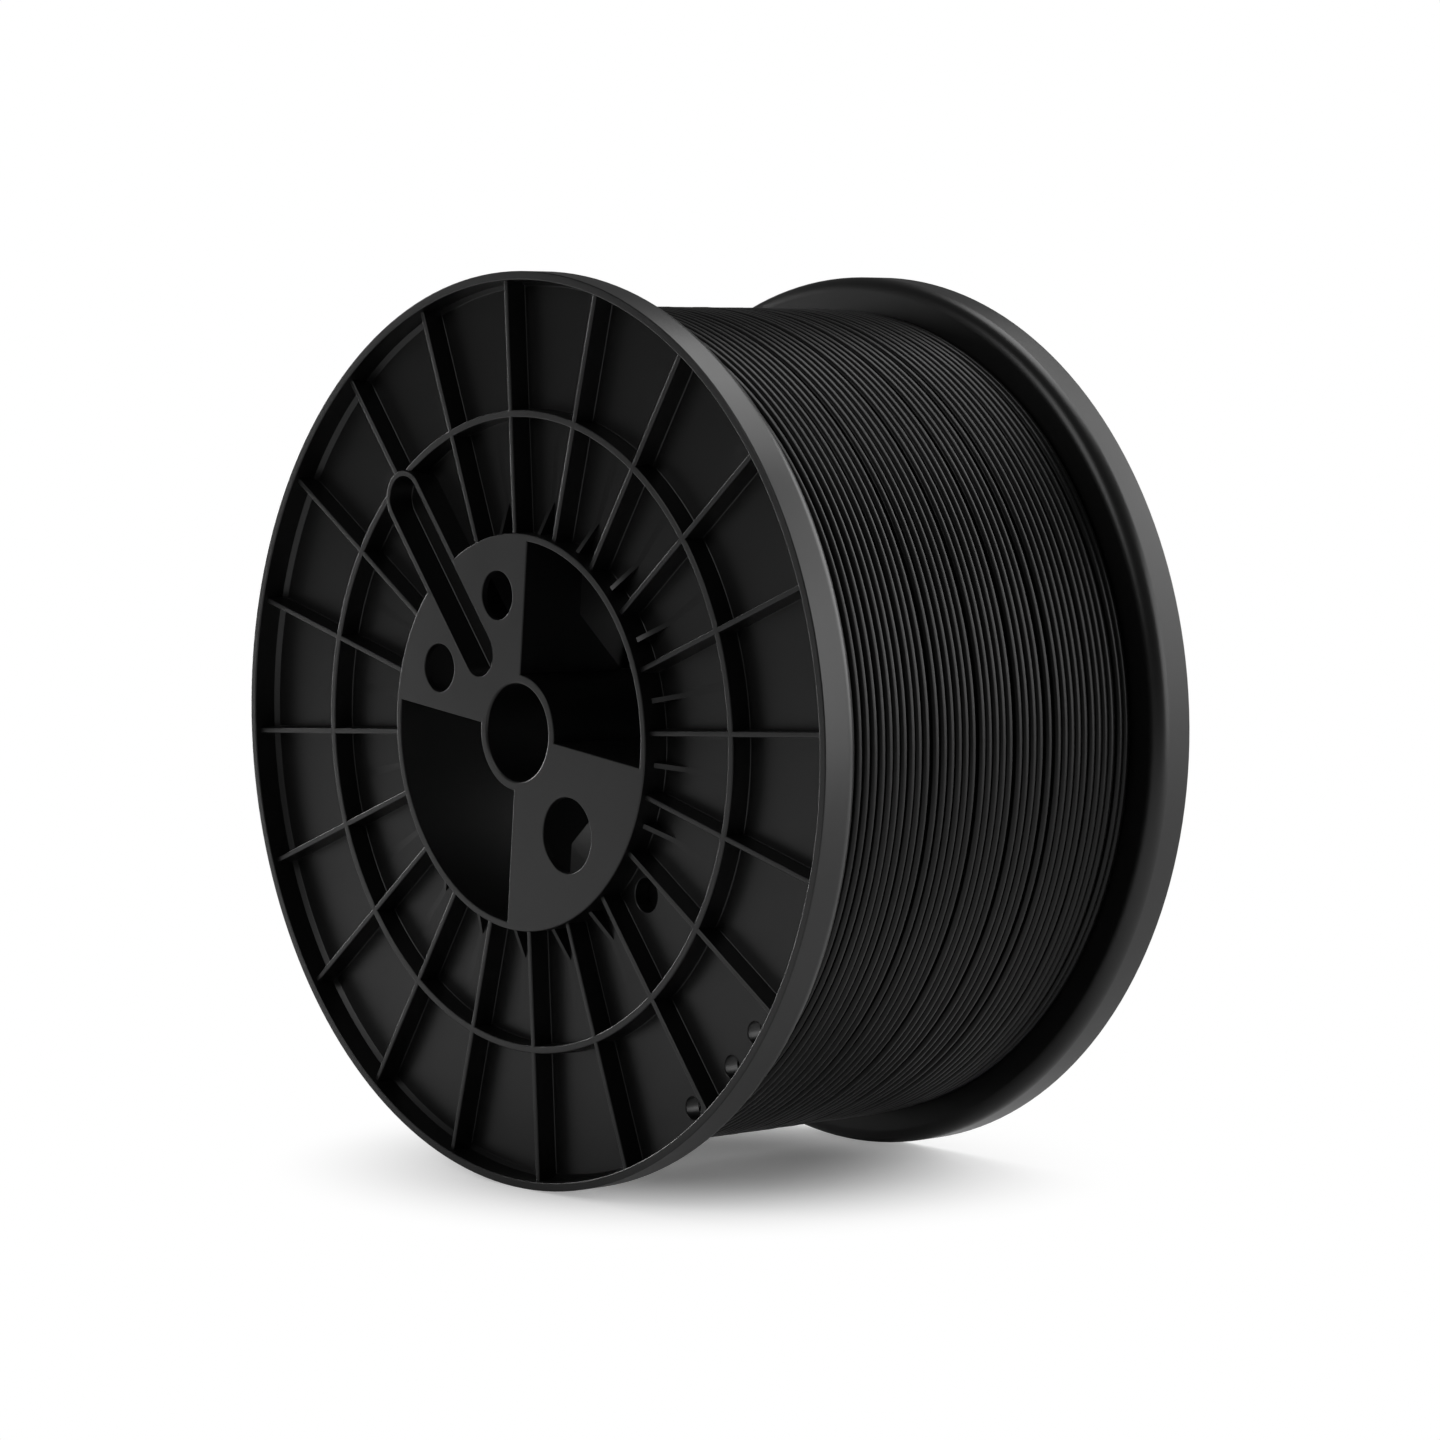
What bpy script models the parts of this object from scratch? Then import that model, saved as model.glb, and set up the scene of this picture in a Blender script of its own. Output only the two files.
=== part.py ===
"""A large filament spool: two ribbed moulded flanges pressed into a drum that carries the filament.

The spool's axis lies along Y, the front flange faces -Y and Z is up. The origin is on the axis,
halfway between the flanges. Lengths are in metres and angles in degrees. A flange is modelled with
its outer face at height 0, its axis along Z and its inner side below, and is then turned into place.
"""
from math import cos, pi, radians, sin

import bmesh
import bpy
from mathutils import Matrix

# The whole spool
FLANGE_RADIUS = 0.150
SPOOL_WIDTH = 0.1595
ROLL_ANGLE = 3.0
FIT_GAP = 0.0003

# Facets round a full circle
LARGE_FACETS = 60
BOSS_FACETS = 40
WINDING_FACETS = 36
HOLE_FACETS = 20
SLOT_END_FACETS = 8
CORNER_FACETS = 3

# Rim and web of a flange
RIM_WALL = 0.0028
RIM_DRAFT = 0.0005
RIM_FOOT = 0.0014
RIM_CORNER = 0.005
PAN_DEPTH = 0.0091
WEB_THICKNESS = 0.0053

# Radial ribs and the ring that crosses them halfway
RIB_COUNT = 20
RIB_THICKNESS = 0.0018
RIB_INSET = 0.0019
SIDE_DRAFT = 0.0002
MID_RING_RADIUS = 0.10515
MID_RING_WALL = 0.0024

# Hub wall, and the spigot that it ends in inside the drum
HUB_RADIUS = 0.0651
HUB_WALL = 0.0024
SPIGOT_SPACING = 0.0395
SPIGOT_LEAD = 0.0008

# Gussets between the hub wall and the web, halfway between the ribs
GUSSET_THICKNESS = 0.0016
GUSSET_LENGTH = 0.0107
GUSSET_HEIGHT = 0.0051
GUSSET_CLEARANCE = 0.0015

# Boss tube round the bore
BORE_RADIUS = 0.016
BOSS_WALL = 0.0031
BORE_ROUNDING = 0.0008
BOSS_OVERHANG = 0.005

# The two hub plates, with a brace under each radial edge
UPPER_PLATE_ANGLE = 126.0
LOWER_PLATE_ANGLE = 306.0
PLATE_SPAN = 88.0
PLATE_THICKNESS = 0.0023
BRACE_THICKNESS = 0.002
BRACE_DEPTH = 0.024
BRACE_FLARE = 0.019

# Slot channel that leads the filament's first end out from the boss to the mid ring
SLOT_WIDTH = 0.0152
SLOT_WALL = 0.0019
SLOT_DEPTH = 0.0094
SLOT_FLOOR = 0.002
SLOT_BOSS_GAP = 0.0036
SLOT_RING_OVERRUN = 0.00095

# Round holes
SMALL_HOLE_RADIUS = 0.008
SMALL_HOLE_OFFSET = 26.0
SMALL_HOLE_MARGIN = 0.009
LARGE_HOLE_RADIUS = 0.0123
ANCHOR_HOLE_RADIUS = 0.0055
ANCHOR_HOLE_ANGLE = 315.0
RIM_HOLE_RADIUS = 0.0036
RIM_HOLE_SETBACK = 0.011
RIM_HOLE_ANGLES = (301.0, 311.0, 317.7)

# Drum and filament
DRUM_WALL = 0.0028
WINDING_SETBACK = 0.0108
TURN_PITCH = 0.00334
TURN_GROOVE = 0.0014

# Colours (linear red, green, blue) and roughness
FLANGE_COLOUR = (0.014, 0.014, 0.014)
DRUM_COLOUR = (0.012, 0.012, 0.012)
FILAMENT_COLOUR = (0.009, 0.009, 0.009)
MOULDED_ROUGHNESS = 0.45
FILAMENT_ROUGHNESS = 0.35

# Sizes that follow from those above
FLANGE_DEPTH = PAN_DEPTH + WEB_THICKNESS
RIM_INNER = FLANGE_RADIUS - RIM_WALL
HUB_INNER = HUB_RADIUS - HUB_WALL
SPIGOT_DEPTH = (SPOOL_WIDTH - SPIGOT_SPACING) / 2
BOSS_RADIUS = BORE_RADIUS + BOSS_WALL
BOSS_DEPTH = BRACE_DEPTH + BRACE_FLARE + BOSS_OVERHANG
RIB_PITCH = 360.0 / RIB_COUNT
SLOT_INNER_CENTRE = BOSS_RADIUS + SLOT_BOSS_GAP + SLOT_WALL + SLOT_WIDTH / 2
SLOT_OUTER_CENTRE = MID_RING_RADIUS + SLOT_RING_OVERRUN - SLOT_WALL - SLOT_WIDTH / 2
SMALL_HOLE_CENTRE = HUB_INNER - SMALL_HOLE_MARGIN - SMALL_HOLE_RADIUS
LARGE_HOLE_CENTRE = (BOSS_RADIUS + HUB_INNER) / 2
DRUM_INNER = HUB_RADIUS + FIT_GAP
DRUM_RADIUS = DRUM_INNER + DRUM_WALL
DRUM_LENGTH = SPOOL_WIDTH - 2 * (FLANGE_DEPTH + FIT_GAP)
ANCHOR_HOLE_CENTRE = DRUM_RADIUS + ANCHOR_HOLE_RADIUS
WOUND_RADIUS = FLANGE_RADIUS - WINDING_SETBACK

# How far a cutter stands clear of what it cuts
CUTTER_MARGIN = 0.002

# Turns a prism's outline so that it reads (radius, height), with its thickness across the ray
ACROSS_RAY = Matrix.Rotation(radians(90.0), 4, "X")
# Turns a prism's outline so that it reads (sideways, height), with its length along the ray
ALONG_RAY = Matrix(((0, 0, 1, 0), (1, 0, 0, 0), (0, 1, 0, 0), (0, 0, 0, 1)))


def turned(angle):
    """A turn about the flange's axis."""
    return Matrix.Rotation(radians(angle), 4, "Z")


def new_object(name, bm):
    """An object of the finished shape, with its faces pointing out."""
    bmesh.ops.recalc_face_normals(bm, faces=bm.faces[:])
    mesh = bpy.data.meshes.new(name)
    bm.to_mesh(mesh)
    bm.free()
    shape = bpy.data.objects.new(name, mesh)
    bpy.context.collection.objects.link(shape)
    return shape


def add_prism(bm, outline, low, high, place):
    """A prism of the outline between two heights, moved by the matrix place."""
    corners = [bm.verts.new((x, y, low)) for x, y in outline]
    face = bm.faces.new(corners)
    raised = bmesh.ops.extrude_face_region(bm, geom=[face])["geom"]
    top = [part for part in raised if isinstance(part, bmesh.types.BMVert)]
    bmesh.ops.translate(bm, verts=top, vec=(0.0, 0.0, high - low))
    bmesh.ops.transform(bm, verts=corners + top, matrix=place)


def add_turning(bm, outline, facets):
    """A ring of the closed (radius, height) outline, turned once about Z."""
    corners = [bm.verts.new((radius, 0.0, height)) for radius, height in outline]
    edges = [bm.edges.new((corners[i - 1], corners[i])) for i in range(len(corners))]
    bmesh.ops.spin(bm, geom=corners + edges, cent=(0.0, 0.0, 0.0), axis=(0.0, 0.0, 1.0),
                   angle=2 * pi, steps=facets, use_merge=True)


def add_sector(bm, outline, middle, span, facets):
    """A part of a ring: the (radius, height) outline turned through the span round the middle."""
    corners = [bm.verts.new((radius, 0.0, height)) for radius, height in outline]
    face = bm.faces.new(corners)
    bmesh.ops.transform(bm, verts=corners, matrix=turned(middle - span / 2))
    bmesh.ops.spin(bm, geom=[face], cent=(0.0, 0.0, 0.0), axis=(0.0, 0.0, 1.0),
                   angle=radians(span), steps=facets)


def add_hole(bm, radius, centre, angle, low, high):
    """A round cutter at the centre distance and angle, between two heights."""
    place = turned(angle) @ Matrix.Translation((centre, 0.0, (low + high) / 2))
    bmesh.ops.create_cone(bm, cap_ends=True, segments=HOLE_FACETS, radius1=radius,
                          radius2=radius, depth=high - low, matrix=place)


def combine(body, operation, tool):
    """Unite the tool with the body, or cut it from the body, and remove the tool."""
    modifier = body.modifiers.new(tool.name, "BOOLEAN")
    modifier.operation = operation
    modifier.solver = "EXACT"
    modifier.object = tool
    depsgraph = bpy.context.evaluated_depsgraph_get()
    result = bpy.data.meshes.new_from_object(body.evaluated_get(depsgraph))
    body.modifiers.clear()
    body.data = result
    bpy.data.objects.remove(tool)


def pan():
    """Rim, web, mid ring, hub wall and spigot, turned from one outline."""
    ring_inner = MID_RING_RADIUS - MID_RING_WALL
    corner_radius = FLANGE_RADIUS - RIM_CORNER
    corner_height = -(FLANGE_DEPTH - RIM_CORNER)
    outline = [
        (FLANGE_RADIUS, 0.0),
        (RIM_INNER, 0.0),
        (RIM_INNER - RIM_DRAFT, RIM_FOOT - PAN_DEPTH),
        (RIM_INNER - RIM_DRAFT - RIM_FOOT, -PAN_DEPTH),
        (MID_RING_RADIUS + SIDE_DRAFT, -PAN_DEPTH),
        (MID_RING_RADIUS, -RIB_INSET),
        (ring_inner, -RIB_INSET),
        (ring_inner - SIDE_DRAFT, -PAN_DEPTH),
        (HUB_RADIUS, -PAN_DEPTH),
        (HUB_RADIUS, 0.0),
        (HUB_INNER, 0.0),
        (HUB_INNER, -SPIGOT_DEPTH),
        (HUB_RADIUS - SPIGOT_LEAD, -SPIGOT_DEPTH),
        (HUB_RADIUS, SPIGOT_LEAD - SPIGOT_DEPTH),
        (HUB_RADIUS, -FLANGE_DEPTH),
    ]
    for step in range(CORNER_FACETS + 1):
        angle = pi / 2 * (step / CORNER_FACETS - 1)
        outline.append((corner_radius + RIM_CORNER * cos(angle),
                        corner_height + RIM_CORNER * sin(angle)))
    bm = bmesh.new()
    add_turning(bm, outline, LARGE_FACETS)
    return new_object("pan", bm)


def boss():
    """Tube round the bore, with its mouth eased."""
    outline = [
        (BOSS_RADIUS, 0.0),
        (BORE_RADIUS + BORE_ROUNDING, 0.0),
        (BORE_RADIUS, -BORE_ROUNDING),
        (BORE_RADIUS, -BOSS_DEPTH),
        (BOSS_RADIUS, -BOSS_DEPTH),
    ]
    bm = bmesh.new()
    add_turning(bm, outline, BOSS_FACETS)
    return new_object("boss", bm)


def hub_plates():
    """Two sector plates between boss and hub wall, each hollowed to a face and two braces."""
    inner = BORE_RADIUS + BOSS_WALL / 2
    outer = HUB_RADIUS - HUB_WALL / 2
    sector = [
        (inner, 0.0),
        (outer, 0.0),
        (outer, -BRACE_DEPTH),
        (BOSS_RADIUS + BRACE_FLARE, -BRACE_DEPTH),
        (inner, -BRACE_DEPTH - BRACE_FLARE - (BOSS_RADIUS - inner)),
    ]
    half_span = radians(PLATE_SPAN / 2)
    apex = BRACE_THICKNESS / sin(half_span)
    reach = HUB_RADIUS + CUTTER_MARGIN
    hollow = [
        (apex, 0.0),
        (apex + reach * cos(half_span), -reach * sin(half_span)),
        (apex + reach, 0.0),
        (apex + reach * cos(half_span), reach * sin(half_span)),
    ]
    plates = bmesh.new()
    hollows = bmesh.new()
    facets = round(LARGE_FACETS * PLATE_SPAN / 360)
    for middle in (UPPER_PLATE_ANGLE, LOWER_PLATE_ANGLE):
        add_sector(plates, sector, middle, PLATE_SPAN, facets)
        add_prism(hollows, hollow, -BOSS_DEPTH - CUTTER_MARGIN, -PLATE_THICKNESS, turned(middle))
    body = new_object("hub_plates", plates)
    combine(body, "DIFFERENCE", new_object("hub_hollows", hollows))
    return body


def ribs():
    """Tapered radial ribs from the hub wall to the rim, one of them cut short by the slot."""
    half = RIB_THICKNESS / 2
    base = -PAN_DEPTH - WEB_THICKNESS / 2
    section = [
        (-half - SIDE_DRAFT, base),
        (half + SIDE_DRAFT, base),
        (half + SIDE_DRAFT, -PAN_DEPTH),
        (half, -RIB_INSET),
        (-half, -RIB_INSET),
        (-half - SIDE_DRAFT, -PAN_DEPTH),
    ]
    bm = bmesh.new()
    for number in range(RIB_COUNT):
        angle = number * RIB_PITCH
        meets_slot = abs(angle - UPPER_PLATE_ANGLE) < RIB_PITCH / 2
        start = MID_RING_RADIUS if meets_slot else HUB_RADIUS - HUB_WALL / 2
        add_prism(bm, section, start, FLANGE_RADIUS - RIM_WALL / 2, turned(angle) @ ALONG_RAY)
    return new_object("ribs", bm)


def near_ray(angle, other_angle, radius, reach):
    """Whether a ray passes closer than the reach to the point at the other angle and radius."""
    between = radians(angle - other_angle)
    return cos(between) > 0 and abs(radius * sin(between)) < reach


def gussets():
    """Small webs that prop the hub wall, left out beside the slot and at the anchor hole."""
    inner = HUB_RADIUS - HUB_WALL / 2
    base = -PAN_DEPTH - WEB_THICKNESS / 2
    outline = [
        (inner, base),
        (HUB_RADIUS + GUSSET_LENGTH, base),
        (HUB_RADIUS + GUSSET_LENGTH, -PAN_DEPTH),
        (HUB_RADIUS, GUSSET_HEIGHT - PAN_DEPTH),
        (inner, GUSSET_HEIGHT - PAN_DEPTH),
    ]
    half = GUSSET_THICKNESS / 2
    margin = half + GUSSET_CLEARANCE
    bm = bmesh.new()
    for number in range(RIB_COUNT):
        angle = (number + 0.5) * RIB_PITCH
        in_slot = near_ray(angle, UPPER_PLATE_ANGLE, HUB_RADIUS,
                           SLOT_WIDTH / 2 + SLOT_WALL + margin)
        in_hole = near_ray(angle, ANCHOR_HOLE_ANGLE, ANCHOR_HOLE_CENTRE,
                           ANCHOR_HOLE_RADIUS + margin)
        if not in_slot and not in_hole:
            add_prism(bm, outline, -half, half, turned(angle) @ ACROSS_RAY)
    return new_object("gussets", bm)


def slot_outline(half_width):
    """A long outline with round ends, between the slot's two end centres."""
    outline = []
    for centre, side in ((SLOT_OUTER_CENTRE, -pi / 2), (SLOT_INNER_CENTRE, pi / 2)):
        for step in range(SLOT_END_FACETS + 1):
            angle = side + pi * step / SLOT_END_FACETS
            outline.append((centre + half_width * cos(angle), half_width * sin(angle)))
    return outline


def slot_body():
    """The slot channel's walls and floor, still solid."""
    bm = bmesh.new()
    add_prism(bm, slot_outline(SLOT_WIDTH / 2 + SLOT_WALL), -SLOT_DEPTH - SLOT_FLOOR, 0.0,
              turned(UPPER_PLATE_ANGLE))
    return new_object("slot_body", bm)


def slot_channel():
    """The cutter that opens the slot channel."""
    bm = bmesh.new()
    add_prism(bm, slot_outline(SLOT_WIDTH / 2), -SLOT_DEPTH, CUTTER_MARGIN,
              turned(UPPER_PLATE_ANGLE))
    return new_object("slot_channel", bm)


def round_holes():
    """Cutters for the plates' drive holes and the holes that the filament's ends pass through."""
    bm = bmesh.new()
    plate_low = -PLATE_THICKNESS - CUTTER_MARGIN
    web_low = -FLANGE_DEPTH - CUTTER_MARGIN
    for side in (-1, 1):
        add_hole(bm, SMALL_HOLE_RADIUS, SMALL_HOLE_CENTRE,
                 UPPER_PLATE_ANGLE + side * SMALL_HOLE_OFFSET, plate_low, CUTTER_MARGIN)
    add_hole(bm, LARGE_HOLE_RADIUS, LARGE_HOLE_CENTRE, LOWER_PLATE_ANGLE,
             plate_low, CUTTER_MARGIN)
    add_hole(bm, ANCHOR_HOLE_RADIUS, ANCHOR_HOLE_CENTRE, ANCHOR_HOLE_ANGLE,
             web_low, CUTTER_MARGIN)
    for angle in RIM_HOLE_ANGLES:
        add_hole(bm, RIM_HOLE_RADIUS, FLANGE_RADIUS - RIM_HOLE_SETBACK, angle,
                 web_low, CUTTER_MARGIN)
    return new_object("round_holes", bm)


def flange(name):
    """One whole moulding."""
    body = pan()
    for piece in (boss(), hub_plates(), ribs(), gussets(), slot_body()):
        combine(body, "UNION", piece)
    for cutter in (slot_channel(), round_holes()):
        combine(body, "DIFFERENCE", cutter)
    body.name = name
    body.data.name = name
    return body


def drum():
    """The tube over both spigots, which the filament is wound on."""
    half = DRUM_LENGTH / 2
    outline = [(DRUM_RADIUS, half), (DRUM_INNER, half), (DRUM_INNER, -half), (DRUM_RADIUS, -half)]
    bm = bmesh.new()
    add_turning(bm, outline, LARGE_FACETS)
    return new_object("drum", bm)


def filament():
    """The wound filament, with a groove between neighbouring turns of its outer layer."""
    turns = round(DRUM_LENGTH / TURN_PITCH)
    pitch = DRUM_LENGTH / turns
    half = DRUM_LENGTH / 2
    inner = DRUM_RADIUS + FIT_GAP
    outline = [(inner, half), (inner, -half)]
    for turn in range(turns):
        start = turn * pitch - half
        outline.append((WOUND_RADIUS - TURN_GROOVE, start))
        outline.append((WOUND_RADIUS, start + pitch / 2))
    outline.append((WOUND_RADIUS - TURN_GROOVE, half))
    bm = bmesh.new()
    add_turning(bm, outline, WINDING_FACETS)
    return new_object("filament", bm)


def set_finish(shape, colour, roughness):
    """A plastic material of the piece's own."""
    material = bpy.data.materials.new(shape.name + "_plastic")
    material.use_nodes = True
    shader = material.node_tree.nodes["Principled BSDF"]
    shader.inputs["Base Color"].default_value = (*colour, 1.0)
    shader.inputs["Roughness"].default_value = roughness
    shader.inputs["Metallic"].default_value = 0.0
    shape.data.materials.clear()
    shape.data.materials.append(material)


def smooth(shape):
    """Smooth shading on the round faces, with the real edges kept sharp."""
    shape.data.shade_smooth()
    shape.data.set_sharp_from_angle(angle=radians(30.0))


def place(shape, axis, offset, heading):
    """Stand the piece on the spool's axis at the offset along Y, turned to its heading."""
    shape.parent = axis
    shape.location = (0.0, offset, 0.0)
    shape.rotation_euler = (radians(90.0), radians(-ROLL_ANGLE), radians(heading))


def main():
    for old in list(bpy.data.objects):
        bpy.data.objects.remove(old)
    axis = bpy.data.objects.new("spool_axis", None)
    bpy.context.collection.objects.link(axis)

    front = flange("front_flange")
    back = bpy.data.objects.new("back_flange", front.data.copy())
    bpy.context.collection.objects.link(back)
    tube = drum()
    winding = filament()

    place(front, axis, -SPOOL_WIDTH / 2, 0.0)
    place(back, axis, SPOOL_WIDTH / 2, 180.0)
    place(tube, axis, 0.0, 0.0)
    place(winding, axis, 0.0, 0.0)

    for moulding in (front, back):
        set_finish(moulding, FLANGE_COLOUR, MOULDED_ROUGHNESS)
    set_finish(tube, DRUM_COLOUR, MOULDED_ROUGHNESS)
    set_finish(winding, FILAMENT_COLOUR, FILAMENT_ROUGHNESS)
    for shape in (front, back, tube, winding):
        smooth(shape)


main()
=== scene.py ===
"""Looks of a large filament spool: two satin black mouldings, the drum and the winding."""
from math import asin, ceil, cos, pi, radians, sin, tan
from random import Random

import bmesh
import bpy
from bpy.props import FloatProperty, FloatVectorProperty, IntProperty, PointerProperty
from bpy.types import Operator, Panel, PropertyGroup
from mathutils import Matrix, Vector


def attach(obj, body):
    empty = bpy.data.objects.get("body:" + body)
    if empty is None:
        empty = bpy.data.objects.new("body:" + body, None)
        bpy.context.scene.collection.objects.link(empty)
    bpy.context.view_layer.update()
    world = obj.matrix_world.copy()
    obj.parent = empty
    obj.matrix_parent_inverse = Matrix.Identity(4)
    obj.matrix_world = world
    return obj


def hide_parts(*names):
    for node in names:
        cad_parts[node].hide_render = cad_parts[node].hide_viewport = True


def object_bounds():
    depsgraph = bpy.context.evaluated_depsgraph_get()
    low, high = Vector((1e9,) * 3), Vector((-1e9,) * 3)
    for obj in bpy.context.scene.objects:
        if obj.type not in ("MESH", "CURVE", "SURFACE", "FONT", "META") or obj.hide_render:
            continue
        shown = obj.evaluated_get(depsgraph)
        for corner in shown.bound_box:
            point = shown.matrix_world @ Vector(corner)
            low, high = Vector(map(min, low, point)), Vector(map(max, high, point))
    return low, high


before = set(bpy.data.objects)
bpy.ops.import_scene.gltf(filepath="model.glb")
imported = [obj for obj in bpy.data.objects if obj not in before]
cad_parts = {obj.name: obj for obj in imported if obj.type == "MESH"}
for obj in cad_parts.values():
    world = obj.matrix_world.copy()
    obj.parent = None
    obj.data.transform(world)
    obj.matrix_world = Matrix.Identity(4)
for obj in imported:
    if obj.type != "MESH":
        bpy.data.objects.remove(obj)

bl_info = {
    "name": "Filament Spool",
    "version": (1, 0, 0),
    "blender": (4, 5, 0),
    "location": "3D View > Sidebar > Spool",
    "description": "Builds the mouldings, drum, winding and studio of a large filament spool",
    "category": "Add Mesh",
}

MM = 0.001

# The frame's own box, from before anything is added
CAD_LOW, CAD_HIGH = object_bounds()
# The frame's rim has 60 flats, and its box is measured across them
RIM_FLATS = 60
RADIUS = (CAD_HIGH.x - CAD_LOW.x) / 2 / cos(pi / RIM_FLATS)
WIDTH = CAD_HIGH.y - CAD_LOW.y
FLOOR_HEIGHT = -RADIUS

# How far the ribs are turned from the horizontal, in degrees
ROLL_ANGLE = 3.0
# Clearance between pieces that touch
FIT_GAP = 0.3 * MM

# Facets round a full circle
LARGE_FACETS = 180
HOLE_FACETS = 64
FLOOR_FACETS = 96
# A rounded corner has facets about this long, within these numbers of them
ARC_FACET = 0.15 * MM
FEWEST_ARC_STEPS = 2
MOST_ARC_STEPS = 12
# Steps of an eased edge, a plate's arc and a slot's round end
EASE_STEPS = 4
PLATE_ARC_STEPS = 22
SLOT_END_STEPS = 24
# Points closer than this are one point
MERGE_DISTANCE = 0.001 * MM
# Edges turned more sharply than this, in degrees, stay sharp
SHARP_ANGLE = 35.0
# At this weight a large flat face sets the shading at its edges, not the narrow ones beside it
FLAT_FACE_WEIGHT = 100

# Turn an outline so that it reads (radius, height), or (sideways, height) along the ray
ACROSS_RAY = Matrix.Rotation(radians(90.0), 4, "X")
ALONG_RAY = Matrix(((0, 0, 1, 0), (1, 0, 0, 0), (0, 1, 0, 0), (0, 0, 0, 1)))
# How far a cutter reaches past what it cuts
CUTTER_MARGIN = 2.0 * MM
# Tops that run into each other differ by this much, too little to see, so that they cut cleanly
STEP = 0.01 * MM


# ---------------------------------------------------------------- colours and settings

def linear(hex_colour):
    """Linear red, green and blue of an sRGB hex colour."""
    channels = [int(hex_colour[i:i + 2], 16) / 255 for i in (1, 3, 5)]
    return tuple(c / 12.92 if c <= 0.04045 else ((c + 0.055) / 1.055) ** 2.4 for c in channels)


def length_property(name, description, default):
    """A length that a user can change, in metres."""
    return FloatProperty(name=name, description=description, default=default, min=0.0,
                         unit="LENGTH", subtype="DISTANCE")


def colour_property(name, description, hex_colour):
    """A colour that a user can change."""
    return FloatVectorProperty(name=name, description=description, subtype="COLOR", size=3,
                               min=0.0, max=1.0, default=linear(hex_colour))


class FlangeSettings(PropertyGroup):
    """Sizes of one flange. Depths are measured inwards from its outer face."""
    radius: length_property("Radius", "Outer radius of the rim", RADIUS)
    rim_wall: length_property("Rim wall", "Thickness of the rim at its face", 2.8 * MM)
    rim_corner: length_property("Rim corner", "Rounding of the rim beside the filament", 5.0 * MM)
    pan_depth: length_property("Pan depth", "Depth of the web's outer side", 9.1 * MM)
    web_thickness: length_property("Web thickness", "Thickness of the web", 5.3 * MM)
    rib_count: IntProperty(name="Ribs", description="Radial ribs in the pan", default=20, min=4)
    rib_thickness: length_property("Rib thickness", "Thickness of a rib at its top", 1.8 * MM)
    rib_inset: length_property("Rib inset", "Depth of the ribs' tops", 1.9 * MM)
    ring_radius: length_property("Ring radius", "Outer radius of the middle ring", 105.15 * MM)
    ring_wall: length_property("Ring wall", "Thickness of the middle ring", 2.4 * MM)
    hub_radius: length_property("Hub radius", "Outer radius of the hub wall", 65.1 * MM)
    hub_wall: length_property("Hub wall", "Thickness of the hub wall", 2.4 * MM)
    spigot_depth: length_property("Spigot depth", "How far the hub wall runs in", 60.0 * MM)
    bore_radius: length_property("Bore radius", "Radius of the bore", 16.0 * MM)
    boss_wall: length_property("Boss wall", "Wall of the tube round the bore", 3.1 * MM)
    boss_depth: length_property("Boss depth", "How far the boss tube runs in", 48.0 * MM)
    plate_thickness: length_property("Plate", "Thickness of the hub plates", 2.3 * MM)
    slot_width: length_property("Slot width", "Width inside the slot channel", 15.2 * MM)
    slot_wall: length_property("Slot wall", "Wall of the slot channel", 1.9 * MM)
    slot_depth: length_property("Slot depth", "Depth of the slot channel", 9.4 * MM)
    small_hole: length_property("Small holes", "Radius of the two small holes", 8.0 * MM)
    large_hole: length_property("Large hole", "Radius of the large hole", 12.3 * MM)
    anchor_hole: length_property("Anchor hole", "Radius of the first end's hole", 5.5 * MM)
    rim_hole: length_property("Rim holes", "Radius of the last end's holes", 3.6 * MM)


class WindingSettings(PropertyGroup):
    """Sizes of the wound filament and the drum under it."""
    drum_radius: length_property("Drum radius", "Outer radius of the drum", 68.2 * MM)
    drum_wall: length_property("Drum wall", "Wall of the drum", 2.8 * MM)
    wound_radius: length_property("Wound radius", "Radius over the last layer", RADIUS - 10.8 * MM)
    diameter: length_property("Filament", "Diameter of the filament", 2.85 * MM)
    turns: IntProperty(name="Turns", description="Turns in the last layer", default=39, min=2)
    stations: IntProperty(name="Stations", default=9, min=2,
                          description="Places round the spool where the gaps are shared out anew")
    wander: FloatProperty(name="Wander", description="How much the gaps change between stations",
                          default=0.5, min=0.0, max=5.0)
    sag: length_property("Sag", "How far a turn sinks between the turns below", 0.25 * MM)
    end_turns: IntProperty(name="End turns", description="Turns beside a flange that lie lower",
                           default=5, min=1)
    end_drop: length_property("End drop", "How much lower the end turns lie", 0.9 * MM)
    seed: IntProperty(name="Seed", description="Changes the uneven places", default=7, min=0)


class FinishSettings(PropertyGroup):
    """Colours and gloss."""
    moulding: colour_property("Moulding", "Colour of the flanges", "#090909")
    drum: colour_property("Drum", "Colour of the drum", "#090909")
    filament: colour_property("Filament", "Colour of the filament", "#070707")
    moulding_roughness: FloatProperty(name="Moulding roughness", default=0.34, min=0.0, max=1.0,
                                      description="Roughness of the mouldings", subtype="FACTOR")
    filament_roughness: FloatProperty(name="Filament roughness", default=0.32, min=0.0, max=1.0,
                                      description="Roughness of the filament", subtype="FACTOR")


class SpoolSettings(PropertyGroup):
    """Everything that the panel shows."""
    flange: PointerProperty(type=FlangeSettings, name="Flange", description="Flange sizes")
    winding: PointerProperty(type=WindingSettings, name="Winding", description="Winding sizes")
    finish: PointerProperty(type=FinishSettings, name="Finish", description="Colours and gloss")


# ---------------------------------------------------------------- mesh tools

def turned(angle):
    """A turn about the flange's axis."""
    return Matrix.Rotation(radians(angle), 4, "Z")


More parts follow.
